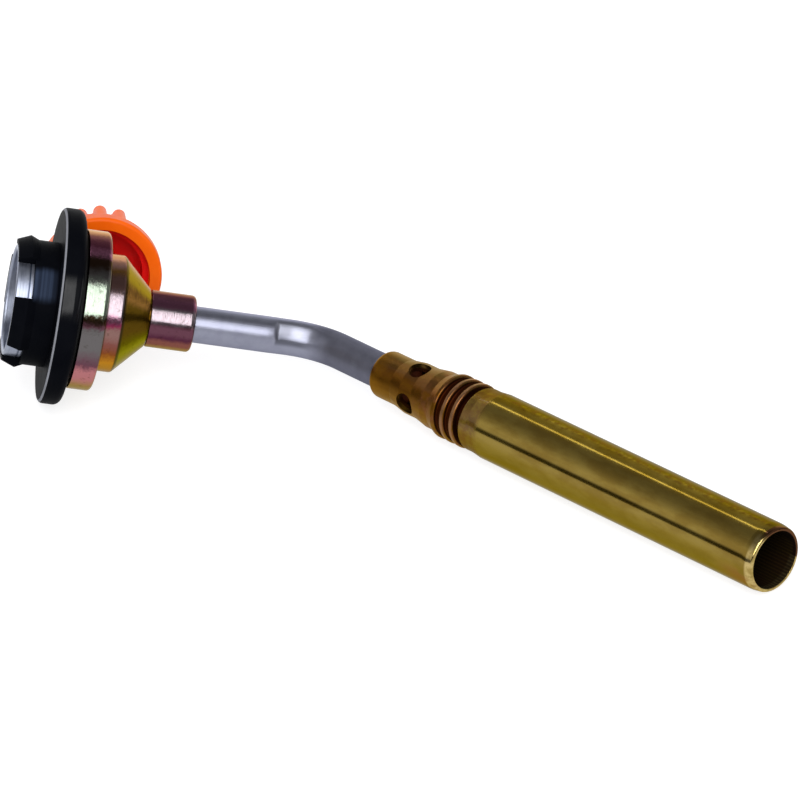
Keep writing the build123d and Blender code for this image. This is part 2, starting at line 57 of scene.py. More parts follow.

# %% [markdown]
# ## Places that everything follows
# Some sizes below are read from the imported model, so that a new size there is followed here, and the
# others are given as numbers. The valve body lies along X. The burner lies in the same plane, turned down
# by the tube's bend, and the mount at its mouth says in which direction.

# %% Read the main places
mounts = {mount["name"]: mount for mount in frame["record"]["mounts"]}
burner_axis = Vector(mounts["flame_mouth"]["axis"]).normalized()
burner_turn = atan2(burner_axis.y, burner_axis.x)
mouth_middle = Vector(mounts["flame_mouth"]["pos_m"])


def along_burner(node):
    """Lowest and highest place of a node along the burner's axis, measured from the X axis."""
    places = [vertex.co.dot(burner_axis) for vertex in nodes[node].data.vertices]
    return min(places), max(places)


def near(node, axis):
    """The node's low and high side along a row axis, 0 to 2."""
    low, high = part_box(node)
    return low[axis], high[axis]


burner_foot = mouth_middle - burner_axis * mouth_middle.dot(burner_axis)
burner_rear = along_burner("burner_body")[0]
tube_start, tube_end = along_burner("flame_tube")
valve_x = sum(near("knob", 0)) / 2
flange_radius = near("bayonet_collar", 1)[1]
base_end = 11.0 * mm
step_end = 14.8 * mm
bend_radius = 15.0 * mm
tube_radius = 4.0 * mm
head_radius = 7.35 * mm
flame_bore = 6.4 * mm
rim_bore = 10.9 * mm
hub_wall_inside = 12.6 * mm
hub_front = -5.2 * mm
hub_foot = -0.2 * mm
bend_start = burner_foot.length / sin(-burner_turn) - bend_radius * tan(-burner_turn / 2)
print("bend", round(-degrees(burner_turn), 2), "valve at", round(valve_x / mm, 2), "mm")
print("bend starts at", round(bend_start / mm, 2), "flange radius", round(flange_radius / mm, 2))

# %% [markdown]
# ## The camera
# The photograph was taken with a long lens, a little to the left of the torch and above it. The
# camera is set from three angles, and then slid sideways until the centre of the flange's face falls
# on the place in the picture where the photograph has it. The long lens keeps the far mouth almost
# as large as it would be near.

# %% Set the camera
photo_width = 800
focal_pixels = 7344
flange_pixel = (59.8, 306.1)
view_distance = 1.6
view_side = radians(8.43)
view_height = radians(17.61)
view_roll = radians(10.27)

flange_centre = Vector((2.1 * mm, 0, 0))
view_back = Vector((
    -sin(view_side) * cos(view_height), -cos(view_side) * cos(view_height), sin(view_height),
))
level_right = Vector((cos(view_side), -sin(view_side), 0))
view_right = Matrix.Rotation(view_roll, 3, view_back) @ level_right
view_up = view_back.cross(view_right)

camera_data = bpy.data.cameras.new("camera")
camera_data.sensor_width = 36
camera_data.lens = camera_data.sensor_width * focal_pixels / photo_width
camera = bpy.data.objects.new("camera", camera_data)
bpy.context.scene.collection.objects.link(camera)
aside = (flange_pixel[0] - photo_width / 2) / focal_pixels * view_distance
below = (flange_pixel[1] - photo_width / 2) / focal_pixels * view_distance
place = flange_centre + view_back * view_distance - view_right * aside + view_up * below
camera_turn = Matrix((view_right, view_up, view_back)).transposed().to_4x4()
camera.matrix_world = Matrix.Translation(place) @ camera_turn
camera_data.clip_end = 10
bpy.context.scene.camera = camera
print("lens", round(camera_data.lens), "mm at", [round(value, 3) for value in place])

# %% [markdown]
# ## The table
# The torch lies on three rims: the flange, the knob and the mouth of the flame tube. So the table isn't
# level with the model's own axes. To find it, take the lowest point of each of the three pieces, lay a
# plane through them, and look again from that plane, twelve times over.

# %% Find the plane that the torch lies on
def lowest(node, normal):
    """The point of a node that lies lowest below a plane."""
    return min((vertex.co for vertex in nodes[node].data.vertices), key=normal.dot)


table_tries = 12
table_normal = Vector((0, 0, 1))
for step in range(table_tries):
    feet = [lowest(node, table_normal) for node in ("bayonet_collar", "knob", "flame_tube")]
    table_normal = (feet[1] - feet[0]).cross(feet[2] - feet[0]).normalized()
    table_normal *= 1 if table_normal.z > 0 else -1
table_gap = 0.2 * mm
table_height = feet[0].dot(table_normal) - table_gap
table_right = (view_right - table_normal * view_right.dot(table_normal)).normalized()
table_front = table_right.cross(table_normal)
print("table normal", [round(value, 3) for value in table_normal])


def over_table(turn, height, distance):
    """Point above the table: turned from the camera's side to the right, raised, and moved away."""
    level = table_front * cos(turn) + table_right * sin(turn)
    return (level * cos(height) + table_normal * sin(height)) * distance


# %% [markdown]
# ## Arithmetic with sockets
# Patterns and forms are easier to read as sums than as boxes and wires. `Wire` holds one socket, and
# each operator on it adds one Math node. `Wires` holds a node tree, and one method of it adds any other
# node. `Finish` is such a tree for a material, and `Form` is one for Geometry Nodes.

# %% Wires that do sums
class Wire:
    """A socket in a node tree, on which sums add Math nodes."""

    def __init__(self, wires, socket):
        self.wires = wires
        self.socket = socket

    def math(self, operation, *values):
        return self.wires.sum(operation, self, *values)

    def __add__(self, other):
        return self.math("ADD", other)

    def __sub__(self, other):
        return self.math("SUBTRACT", other)

    def __rsub__(self, other):
        return self.wires.sum("SUBTRACT", other, self)

    def __mul__(self, other):
        return self.math("MULTIPLY", other)

    def __truediv__(self, other):
        return self.math("DIVIDE", other)

    def __neg__(self):
        return self.math("MULTIPLY", -1)

    __radd__ = __add__
    __rmul__ = __mul__

    def between(self, low, high):
        """0 below low, 1 above high, and a smooth rise between."""
        settings = {"interpolation_type": "SMOOTHSTEP"}
        inputs = {"Value": self, "From Min": low, "From Max": high}
        return self.wires.add("ShaderNodeMapRange", settings, inputs)

    def within(self, low, high, soft):
        """1 from low to high, and 0 outside, with soft ends."""
        return self.between(low - soft, low + soft) * (1 - self.between(high - soft, high + soft))


class Wires:
    """A node tree, and the ways to add to it."""

    def __init__(self, tree):
        self.tree = tree

    def add(self, kind, settings=None, inputs=None, output=0):
        """Adds a node, sets it up, feeds its sockets with numbers or wires, and returns an output."""
        node = self.tree.nodes.new(kind)
        for name, value in (settings or {}).items():
            if name == "stops":
                self.fill_ramp(node.color_ramp, value)
            else:
                setattr(node, name, value)
        for name, value in (inputs or {}).items():
            if isinstance(value, Wire):
                self.tree.links.new(value.socket, node.inputs[name])
            else:
                node.inputs[name].default_value = value
        return Wire(self, node.outputs[output])

    @staticmethod
    def fill_ramp(ramp, stops):
        """Gives a ramp its stops, each a place and a colour."""
        while len(ramp.elements) < len(stops):
            ramp.elements.new(1)
        for element, (where, colour) in zip(ramp.elements, stops):
            element.position = where
            element.color = (*colour, 1)

    def sum(self, operation, *values):
        """A Math node on numbers and wires."""
        return self.add("ShaderNodeMath", {"operation": operation}, dict(enumerate(values)))

    def split(self, vector):
        """The three numbers of a vector."""
        node = self.add("ShaderNodeSeparateXYZ", inputs={"Vector": vector}).socket.node
        return [Wire(self, output) for output in node.outputs]

    def reach(self, vector, direction):
        """How far a vector reaches in a direction."""
        inputs = {0: vector, 1: direction}
        return self.add("ShaderNodeVectorMath", {"operation": "DOT_PRODUCT"}, inputs, output=1)

    def colours(self, number, stops):
        """Colour for a number, from stops of a place and a colour."""
        return self.add("ShaderNodeValToRGB", {"stops": stops}, {"Fac": number})

    def mix(self, share, first, second, blend="MIX"):
        """Two colours mixed by a share."""
        settings = {"data_type": "RGBA", "blend_type": blend}
        inputs = {0: share, 6: first, 7: second}
        return self.add("ShaderNodeMix", settings, inputs, output=2)


class Finish(Wires):
    """A material with one Principled shader and ways to feed it."""

    def __init__(self, name, constants):
        self.material = bpy.data.materials.new(name)
        self.material.use_nodes = True
        super().__init__(self.material.node_tree)
        self.shader = self.tree.nodes["Principled BSDF"]
        for socket, value in constants.items():
            self.shader.inputs[socket].default_value = value

    def feed(self, socket, wire):
        """Links a wire to the shader."""
        self.tree.links.new(wire.socket, self.shader.inputs[socket])

    def place(self, origin=(0, 0, 0), turn=0.0):
        """Object coordinates in a frame at an origin, turned about Z, with X along the piece."""
        coordinates = self.add("ShaderNodeTexCoord", output="Object")
        settings = {"vector_type": "TEXTURE"}
        inputs = {"Vector": coordinates, "Location": origin, "Rotation": (0, 0, turn)}
        return self.add("ShaderNodeMapping", settings, inputs)

    def degrees_round(self, y, z):
        """How far round the piece a place lies: 0 in front, 90 on top, 180 behind, -90 below."""
        return self.sum("ARCTAN2", z, -y) * degrees(1)

    def stretch(self, vector, scale):
        """The coordinates scaled, which draws a pattern out where the scale is small."""
        return self.add("ShaderNodeVectorMath", {"operation": "MULTIPLY"}, {0: vector, 1: scale})

    def noise(self, vector, size, detail=2.0, roughness=0.5):
        """Cloudy pattern, 0 to 1, whose lumps have this size in metres."""
        inputs = {"Vector": vector, "Scale": 1 / size, "Detail": detail, "Roughness": roughness}
        return self.add("ShaderNodeTexNoise", inputs=inputs)

    def bands(self, number, size, detail=3.0):
        """Noise along one number alone, as the marks of a lathe lie along its axis."""
        inputs = {"W": number, "Scale": 1 / size, "Detail": detail}
        return self.add("ShaderNodeTexNoise", {"noise_dimensions": "1D"}, inputs)

    def bump(self, height, depth):
        """Bends the surface by a height of this depth in metres."""
        inputs = {"Height": height, "Strength": 1.0, "Distance": depth}
        self.feed("Normal", self.add("ShaderNodeBump", inputs=inputs))


class Form(Wires):
    """A Geometry Nodes tree with named sizes, which ends as a plain mesh."""

    weld_distance = 0.0001 * mm
    sharp_corner = radians(40)

    def __init__(self, name, sizes):
        super().__init__(bpy.data.node_groups.new(name, "GeometryNodeTree"))
        self.name = name
        self.values = {}
        self.tree.interface.new_socket("Geometry", in_out="OUTPUT", socket_type="NodeSocketGeometry")
        for size, value in sizes.items():
            kind = "NodeSocketInt" if isinstance(value, int) else "NodeSocketFloat"
            socket = self.tree.interface.new_socket(size, in_out="INPUT", socket_type=kind)
            self.values[socket.identifier] = value
        self.entry = self.tree.nodes.new("NodeGroupInput")

    def size(self, name):
        """The wire of a named size."""
        return Wire(self, self.entry.outputs[name])

    def make(self, geometry, material, turn=None):
        """Ends the tree, runs it, and keeps the result as a plain closed mesh, moved to its place."""
        plain = self.add("GeometryNodeRealizeInstances", inputs={"Geometry": geometry})
        plain = self.add("GeometryNodeSetMaterial", inputs={"Geometry": plain, "Material": material})
        end = self.tree.nodes.new("NodeGroupOutput")
        self.tree.links.new(plain.socket, end.inputs["Geometry"])
        piece = bpy.data.objects.new(self.name, bpy.data.meshes.new(self.name))
        bpy.context.scene.collection.objects.link(piece)
        modifier = piece.modifiers.new("form", "NODES")
        modifier.node_group = self.tree
        for identifier, value in self.values.items():
            modifier[identifier] = value
        evaluated = piece.evaluated_get(bpy.context.evaluated_depsgraph_get())
        made = bpy.data.meshes.new_from_object(evaluated)
        piece.modifiers.clear()
        piece.data = made
        form = bmesh.new()
        form.from_mesh(made)
        bmesh.ops.remove_doubles(form, verts=form.verts, dist=self.weld_distance)
        if turn is not None:
            bmesh.ops.transform(form, matrix=turn, verts=form.verts)
        bmesh.ops.recalc_face_normals(form, faces=form.faces)
        form.to_mesh(made)
        form.free()
        made.polygons.foreach_set("use_smooth", [True] * len(made.polygons))
        made.set_sharp_from_angle(angle=self.sharp_corner)
        print(self.name, "faces:", len(made.polygons))
        return piece


def seen(red, green, blue):
    """A colour as the eye reads it in a picture, 0 to 255, turned into the light that it stands for."""
    light = []
    for value in (red / 255, green / 255, blue / 255):
        light.append(value / 12.92 if value <= 0.04045 else ((value + 0.055) / 1.055) ** 2.4)
    return tuple(light)


def solid(colour):
    """A colour with full cover, as colour sockets want it."""
    return (*colour, 1)


def shade(red, green, blue):
    """A colour as the eye reads it, with full cover."""
    return solid(seen(red, green, blue))


def round_share(degrees_round):
    """Where a place round a piece lies on a ramp: -180 degrees at 0, the front at 0.5, 180 at 1."""
    return degrees_round / 360 + 0.5


# %% [markdown]
# ## Black moulding
# The collar is a glass-filled nylon moulding, nearly black. Hands have polished the side that faces them
# when the cartridge is turned in, so a thin clear coat lies there, and the rest stays dull. A bluish-grey
# painted highlight lies in bands on the hub, and a light grey painted highlight runs along the edge of the
# flange.

# %% The collar's plastic
def black_moulding():
    finish = Finish("black_moulding", {
        "Specular IOR Level": 0.006, "Coat Roughness": 0.2, "Coat IOR": 1.55,
    })
    place = finish.place()
    x, y, z = finish.split(place)
    radius = (y * y + z * z).math("SQRT")
    cloud = finish.noise(place, 5 * mm, 3)
    grain = finish.noise(place, 0.25 * mm, 2)
    around = finish.degrees_round(y, z) + (cloud - 0.5) * 10
    handled = around.within(12, 34, 5) * radius.between(flange_radius - 2 * mm, flange_radius - 1 * mm)
    # Painted highlight: a light grey line along the edge of the flange.
    edge_highlight = radius.between(flange_radius - 0.75 * mm, flange_radius - 0.6 * mm)
    edge_highlight = edge_highlight * (1 - x.between(0.35 * mm, 0.5 * mm)) * (0.5 + cloud * 0.5)
    tone = finish.mix(cloud, shade(4, 5, 9), shade(13, 14, 18))
    # Painted highlight: a bluish-grey band on the hub, broken into bands along X.
    marks = finish.bands(x, 1.5 * mm, 2).between(0.36, 0.58)
    hub_highlight = around.within(21, 49, 5) * x.within(hub_front, hub_foot, 0.3 * mm)
    hub_highlight = hub_highlight * radius.between(hub_wall_inside, hub_wall_inside + 0.4 * mm)
    tone = finish.mix(hub_highlight * (0.25 + marks * 0.6), tone, shade(52, 62, 82))
    finish.feed("Base Color", finish.mix(edge_highlight, tone, shade(150, 151, 158)))
    finish.feed("Coat Weight", handled * (0.1 + cloud * 0.5))
    finish.feed("Roughness", 0.34 + cloud * 0.12 + grain * 0.06)
    finish.bump(grain, 0.012 * mm)
    return finish.material


# %% [markdown]
# ## Bright cup
# The cup inside the hub is pressed from sheet and left bright. Pressing leaves rings, and handling
# leaves a haze, so the roughness follows rings round the axis and a cloud.

# %% The cup's metal
def pressed_metal():
    finish = Finish("pressed_metal", {"Metallic": 1.0})
    place = finish.place()
    x, y, z = finish.split(place)
    radius = (y * y + z * z).math("SQRT")
    rings = finish.bands(radius + x, 0.35 * mm)
    steps = finish.bands(x, 1.3 * mm, 2)
    haze = finish.noise(place, 2.2 * mm, 4)
    bright = finish.mix(haze, shade(126, 132, 152), shade(184, 190, 204))
    finish.feed("Base Color", finish.mix(steps.between(0.5, 0.62), bright, shade(74, 82, 102)))
    finish.feed("Roughness", 0.26 + rings * 0.12 + haze * 0.14)
    finish.bump(rings + haze, 0.02 * mm)
    return finish.material


# %% [markdown]
# ## Passivated plating
# The valve body is zinc-plated and dipped in a yellow passivation. The film is so thin that its colour
# changes with its thickness, from olive through green and pink to purple. The tint follows how far round
# the body a place lies, and each turned face has its own list. Besides the film's colours, the lists hold
# painted light: lighter tints where the front box's bright band falls are a painted highlight, and on the
# valve body a dark line just below that band is a painted reflection. One function makes every plated
# piece from lists of tints. Each tint is a pair: degrees round the body, where 0 is the front, 90 the top
# and -90 the underside, and the name of a colour. The lists and the colours were worked out from colours
# measured on the photograph; the names were given afterwards.

# %% The plating
def plating(name, faces, corners=(), roughness=0.10):
    """Plating whose tints change from face to face along X, each face with the place where it starts."""
    finish = Finish(name, {"Metallic": 1.0, "Specular Tint": solid((0.78, 0.68, 0.52))})
    place = finish.place()
    x, y, z = finish.split(place)
    cloud = finish.noise(place, 1.6 * mm, 4, 0.6)
    fine = finish.noise(place, 0.45 * mm, 3)
    rings = finish.bands(x, 0.22 * mm)
    around = finish.degrees_round(y, z) + (cloud - 0.5) * 9 + (fine - 0.5) * 6
    share = round_share(around)
    colour = None
    for start, tints in faces:
        stops = [(round_share(where), seen(*film_and_painted_light_colours[tone])) for where, tone in tints]
        face = finish.colours(share, stops)
        if colour is None:
            colour = face
        else:
            colour = finish.mix(x.between(start - 0.06 * mm, start + 0.06 * mm), colour, face)
    # Painted shade: a dark line at each corner where one turned face meets the next.
    for corner in corners:
        corner_shade = x.within(corner - 0.1 * mm, corner + 0.55 * mm, 0.25 * mm)
        colour = finish.mix(corner_shade * 0.8, colour, shade(46, 38, 22))
    stain = finish.noise(place, 0.9 * mm, 3).between(0.58, 0.72)
    finish.feed("Base Color", finish.mix(stain * 0.3, colour, shade(130, 110, 60), "MULTIPLY"))
    finish.feed("Roughness", roughness + cloud * 0.06 + rings * 0.08 + stain * 0.06)
    finish.bump(rings * 0.2 + cloud, 0.035 * mm)
    return finish.material


film_and_painted_light_colours = {
    "ink": (56, 42, 28), "umber": (62, 45, 35), "ochre": (88, 66, 14), "bronze": (134, 96, 46),
    "moss": (94, 86, 4), "lime": (140, 138, 10), "olive": (128, 108, 24), "straw": (158, 134, 64),
    "gold": (196, 134, 34), "rust": (138, 76, 34), "brick": (134, 80, 72), "copper": (184, 128, 92),
    "rose": (188, 120, 124), "crimson": (150, 44, 86), "plum": (84, 40, 60), "mauve": (106, 66, 80),
    "lilac": (148, 94, 120), "dust": (144, 108, 102), "pearl": (136, 124, 130), "mint": (134, 145, 131),
    "steel": (108, 104, 104),
}
# Painted highlight: the mint tints on the valve body, and the pearl tints on its step and on the nut, lie
# where the front box's band falls. Painted reflection: the ink tints just below that band on the valve
# body are a dark line.
base_tints = [
    (-180, "olive"), (-90, "straw"), (-56, "straw"), (-43, "rose"), (-33, "rose"), (-26, "mauve"),
    (-12, "steel"), (3, "steel"), (6, "mauve"), (9, "ink"), (12, "ink"), (14, "mint"), (36, "mint"),
    (44, "steel"), (51, "umber"), (57, "umber"), (62, "lilac"), (70, "plum"), (84, "plum"),
    (94, "copper"), (180, "olive"),
]
step_tints = [
    (-180, "olive"), (-80, "straw"), (-40, "gold"), (-26, "rust"), (-16, "brick"), (-6, "dust"),
    (0, "dust"), (5, "crimson"), (10, "lilac"), (16, "pearl"), (35, "pearl"), (44, "dust"), (54, "dust"),
    (62, "bronze"), (70, "dust"), (96, "copper"), (180, "olive"),
]
cone_tints = [
    (-180, "olive"), (-60, "lime"), (-30, "lime"), (-16, "moss"), (-3, "ochre"), (26, "ochre"),
    (35, "bronze"), (46, "bronze"), (58, "olive"), (74, "olive"), (92, "copper"), (104, "copper"),
    (180, "olive"),
]
nut_tints = [
    (-180, "bronze"), (-60, "straw"), (-42, "brick"), (-32, "brick"), (-22, "plum"), (-10, "mauve"),
    (6, "mauve"), (13, "pearl"), (38, "pearl"), (46, "lilac"), (58, "lilac"), (68, "mauve"),
    (80, "plum"), (96, "brick"), (180, "bronze"),
]

# %% [markdown]
# ## Nickel tube
# The feed tube is drawn steel with a satin nickel finish. Drawing leaves fine lines along the tube, so its
# pattern is stretched along the straight run, and the sheen is broader than on the brass. Past the bend
# the tube is painted darker and is rougher. The pressed patch on the bend has a painted highlight, lighter
# over its upper part, with painted shade at its lower edge.

# %% The tube's metal
def satin_nickel():
    finish = Finish("satin_nickel", {"Metallic": 1.0, "Specular Tint": solid((0.6, 0.6, 0.66))})
    place = finish.place()
    x, y, z = finish.split(place)
    lines = finish.noise(finish.stretch(place, (0.03, 1, 1)), 0.2 * mm, 3)
    haze = finish.noise(place, 2.6 * mm, 4)
    pits = finish.noise(place, 0.35 * mm, 2).between(0.62, 0.7)
    bright = finish.mix(haze, shade(132, 134, 152), shade(162, 164, 180))
    past_bend = (x - bend_start).math("MAXIMUM", 0)
    reach = (bend_radius * bend_radius - past_bend * past_bend).math("MAXIMUM", 0).math("SQRT")
    turned_inward = reach - bend_radius
    # Past the bend the tube is painted darker, and it is rougher too.
    dull = x.between(bend_start + 3 * mm, bend_start + 9 * mm)
    dulled = finish.mix(haze, shade(100, 101, 114), shade(124, 125, 138))
    bright = finish.mix(dull, bright, dulled)
    pressed = x.within(bend_start - 2.9 * mm, bend_start + 6 * mm, 0.3 * mm)
    pressed = pressed * (1 - x.between(bend_start + 2 * mm, bend_start + 6.5 * mm))
    around = finish.degrees_round(y - turned_inward, z)
    # Painted highlight on the pressed patch, lighter over its upper part, with painted shade at its lower
    # edge.
    patch_highlight = finish.mix(around.between(0, 40), shade(104, 106, 118), shade(162, 164, 178))
    finish.feed("Base Color", finish.mix(pressed * around.within(-14, 70, 9), bright, patch_highlight))
    finish.feed("Roughness", 0.26 + lines * 0.10 + haze * 0.10 + dull * 0.16)
    finish.bump(lines + haze * 0.6 - pits * 0.5, 0.012 * mm)
    return finish.material


# %% [markdown]
# ## Burner brass
# The burner's body is turned brass that has been hot: dull golden brown, redder near its head, with long
# soft streaks. The lathe left rings round it. The grooves, the bore and the inner ends of the air holes
# are painted dark brown, and the narrow ridges between the grooves carry a copper painted highlight. Its
# list of tints was worked out from colours measured on the photograph too.

# %% The burner's metal
def heated_brass():
    finish = Finish("heated_brass", {"Metallic": 1.0, "Specular Tint": solid((0.95, 0.82, 0.6))})
    place = finish.place(burner_foot, burner_turn)
    x, y, z = finish.split(place)
    radius = (y * y + z * z).math("SQRT")
    rings = finish.bands(x, 0.16 * mm)
    cloud = finish.noise(place, 2.8 * mm, 4, 0.6)
    streaks = finish.noise(finish.stretch(place, (0.25, 1, 1)), 1.4 * mm, 3)
    around = finish.degrees_round(y, z) + (streaks - 0.5) * 60
    stops = [(round_share(where), seen(*tone)) for where, tone in burner_tints]
    tint = finish.colours(round_share(around), stops)
    red = x.between(burner_rear + 12 * mm, burner_rear + 20 * mm) * cloud.between(0.42, 0.6)
    tint = finish.mix(red * 0.8, tint, shade(120, 76, 44))
    gold = (1 - x.between(burner_rear + 1 * mm, burner_rear + 7 * mm)) * cloud.between(0.35, 0.6)
    tint = finish.mix(gold * 0.7, tint, shade(130, 88, 18))
    in_head = x.between(burner_rear + groove_zone - 0.1 * mm, burner_rear + groove_zone + 0.1 * mm)
    on_skin = radius.between(head_radius - 0.1 * mm, head_radius)
    # Painted highlight: copper on the tops of the ridges between the grooves.
    ridge = x.between(burner_rear + ridge_zone, burner_rear + ridge_zone + 0.2 * mm) * on_skin
    tint = finish.mix(ridge * 0.5, tint, shade(160, 122, 92))
    # The grooves and the bore are painted dark brown and made rougher.
    in_groove = in_head * (1 - radius.between(head_radius - 0.6 * mm, head_radius - 0.25 * mm))
    in_bore = 1 - radius.between(burner_bore, burner_bore + 0.5 * mm)
    dark_recess = in_groove.math("MAXIMUM", in_bore)
    finish.feed("Base Color", finish.mix(dark_recess * 0.92, tint, shade(54, 16, 4)))
    finish.feed("Roughness", 0.27 + cloud * 0.12 + rings * 0.08 + dark_recess * 0.2)
    finish.bump(rings * 0.3 + cloud + streaks, 0.03 * mm)
    return finish.material


groove_zone = 22.4 * mm
ridge_zone = 23.6 * mm
burner_bore = 4.7 * mm
burner_tints = [
    (-180, (104, 72, 24)), (-90, (142, 106, 38)), (-50, (136, 100, 32)), (-28, (122, 84, 22)),
    (-10, (104, 68, 16)), (8, (108, 70, 16)), (24, (106, 66, 20)), (42, (108, 72, 38)),
    (60, (102, 70, 30)), (80, (104, 80, 38)), (110, (112, 86, 46)), (180, (104, 72, 24)),
]

# %% [markdown]
# ## Polished flame tube
# The flame tube is polished brass with an olive cast, with a brown painted shade along its top, where it
# is also a little rougher. Polishing left long fine lines, so the noise is drawn out along the tube. Heat
# has turned the neck brown. At the mouth the lip has a light gold painted highlight, one side of the rim's
# very end has a brown painted shade, and inside, the bore is painted near-black and not metallic.

# %% The flame tube's metal
def polished_brass():
    finish = Finish("polished_brass", {
        "Metallic": 1.0, "Specular IOR Level": 0.1, "Specular Tint": solid((0.68, 0.62, 0.44)),
        "Coat Roughness": 0.06,
    })
    place = finish.place(burner_foot, burner_turn)
    x, y, z = finish.split(place)
    radius = (y * y + z * z).math("SQRT")
    streaks = finish.noise(finish.stretch(place, (0.04, 1, 1)), 0.5 * mm, 4, 0.6)
    cloud = finish.noise(finish.stretch(place, (0.35, 1, 1)), 3.2 * mm, 4, 0.6)
    spots = finish.noise(place, 1.5 * mm, 4, 0.6)
    around = finish.degrees_round(y, z)
    clean = finish.mix(cloud.between(0.35, 0.65), shade(134, 108, 32), shade(152, 128, 52))
    under = 1 - around.between(-30, 0)
    tint = finish.mix(under * 0.6, clean, shade(126, 108, 40))
    # Painted shade: brown along the top of the tube.
    shaded_top = (around + (spots - 0.5) * 30).within(76, 150, 8)
    brown = finish.mix(spots.between(0.4, 0.6), shade(74, 62, 22), shade(86, 58, 30))
    tint = finish.mix(shaded_top * 0.9, tint, brown)
    neck = 1 - x.between(tube_start + 4.5 * mm, tube_start + 6.5 * mm)
    tint = finish.mix(neck * (0.4 + spots.between(0.35, 0.6) * 0.5), tint, shade(118, 84, 36))
    blush = x.between(tube_end - 12 * mm, tube_end - 3 * mm) * (1 - around.between(-30, -8))
    tint = finish.mix(blush * cloud.between(0.4, 0.55) * 0.5, tint, shade(148, 92, 52))
    # Painted highlight: light gold on the lip, except on the side where the rim has painted shade.
    lip = x.between(tube_end - 2.0 * mm, tube_end - 1.4 * mm)
    shaded_side = around.between(38, 62)
    lip_highlight = lip * (1 - shaded_side) * (0.3 + spots.between(0.35, 0.6) * 0.5)
    tint = finish.mix(lip_highlight, tint, shade(214, 190, 124))
    # Painted shade: brown on one side of the rim at the very end of the mouth.
    lip_shade = x.between(tube_end - 1.1 * mm, tube_end - 0.8 * mm) * shaded_side
    tint = finish.mix(lip_shade, tint, shade(96, 64, 44))
    # Inside, the bore is painted near-black and is not metallic.
    inside = 1 - radius.between(flame_bore - 0.02 * mm, flame_bore + 0.12 * mm)
    finish.feed("Base Color", finish.mix(inside, tint, shade(6, 1, 1)))
    finish.feed("Metallic", 1 - inside)
    finish.feed("Coat Weight", around.within(-10, 54, 8) * 0.4)
    dulled = shaded_top * 0.08 + neck * 0.22 + inside * 0.7
    finish.feed("Roughness", 0.08 + streaks * 0.07 + cloud * 0.04 + dulled)
    finish.bump(streaks, 0.002 * mm)
    return finish.material


# %% [markdown]
# ## Orange moulding
# The knob is coloured through. Light that goes into its hollow back comes out after several bounces, each
# of which takes more of the green away, so the hollow looks deep red. A darker tint there helps the few
# bounces that the render takes.

# %% The knob's plastic
def orange_moulding():
    finish = Finish("orange_moulding", {"Specular IOR Level": 0.16})
    place = finish.place((valve_x, 0, 0))
    x, y, z = finish.split(place)
    radius = (x * x + z * z).math("SQRT")
    front = near("knob", 1)[1]
    front_wall = 2.3 * mm
    rim = radius.between(rim_bore - 0.12 * mm, rim_bore + 0.02 * mm)
    hollow = (1 - rim) * (1 - y.between(front - front_wall, front - front_wall + 0.4 * mm))
    cloud = finish.noise(place, 5 * mm, 3)
    grain = finish.noise(place, 0.3 * mm, 2)
    skin = finish.mix(cloud, shade(236, 88, 0), shade(248, 106, 2))
    finish.feed("Base Color", finish.mix(hollow, skin, shade(228, 6, 4)))
    finish.feed("Roughness", 0.32 + cloud * 0.08 + grain * 0.06)
    finish.bump(grain, 0.012 * mm)
    return finish.material


# %% [markdown]
# ## Small metals and rubber
# Screws, nipple, jet and filters are small, but show from behind or through the collar. They get the
# same care at a smaller scale: lathe rings on turned brass, a zinc bloom on steel, open pores on the
# filters.

# %% Finishes of the small pieces
def turned_metal(name, dark, light, roughness, ring_size=0.12 * mm):
    finish = Finish(name, {"Metallic": 1.0})
    place = finish.place((valve_x, 0, 0))
    x, y, z = finish.split(place)
    rings = finish.bands(x + y * 0.7 + z * 0.2, ring_size)
    cloud = finish.noise(place, 1.2 * mm, 3)
    finish.feed("Base Color", finish.mix(cloud, solid(dark), solid(light)))
    finish.feed("Roughness", roughness + cloud * 0.12 + rings * 0.08)
    finish.bump(rings, 0.006 * mm)
    return finish.material


def black_rubber():
    finish = Finish("black_rubber", {"Specular IOR Level": 0.3})
    place = finish.place()
    bloom = finish.noise(place, 1.5 * mm, 4)
    grain = finish.noise(place, 0.2 * mm, 2)
    finish.feed("Base Color", finish.mix(bloom, shade(14, 14, 15), shade(36, 36, 38)))
    finish.feed("Roughness", 0.62 + bloom * 0.2)
    finish.bump(grain, 0.03 * mm)
    return finish.material


def sintered_bronze():
    finish = Finish("sintered_bronze", {"Metallic": 0.9})
    place = finish.place()
    grain_size = 0.3 * mm
    inputs = {"Vector": place, "Scale": 1 / grain_size}
    grains = finish.add("ShaderNodeTexVoronoi", {"feature": "F1"}, inputs)
    finish.feed("Base Color", finish.mix(grains, shade(150, 104, 60), shade(70, 40, 20)))
    finish.feed("Roughness", 0.5 + grains * 0.3)
    finish.bump(1 - grains, 0.08 * mm)
    return finish.material


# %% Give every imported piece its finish
brass = turned_metal("turned_brass", seen(150, 118, 58), seen(190, 156, 88), 0.22)
hot_brass = turned_metal("hot_brass", seen(70, 26, 8), seen(104, 48, 20), 0.40)
body_faces = [(0, base_tints), (base_end, step_tints), (step_end, cone_tints)]
finishes = {
    "black_plastic": black_moulding(),
    "cup_metal": pressed_metal(),
    "screw_steel": turned_metal("zinc_steel", seen(140, 142, 150), seen(182, 184, 190), 0.26),
    "nipple_brass": brass,
    "spindle_brass": brass,
    "sintered_bronze": sintered_bronze(),
    "rubber": black_rubber(),
    "plated_body": plating("plated_body", body_faces, (base_end, step_end)),
    "plated_nut": plating("plated_nut", [(0, nut_tints)]),
    "orange_plastic": orange_moulding(),
    "tube_metal": satin_nickel(),
    "burner_brass": heated_brass(),
    "flame_tube_brass": polished_brass(),
}
slots = {entry["node"]: entry["material_slot"] for entry in frame["record"]["subparts"]}
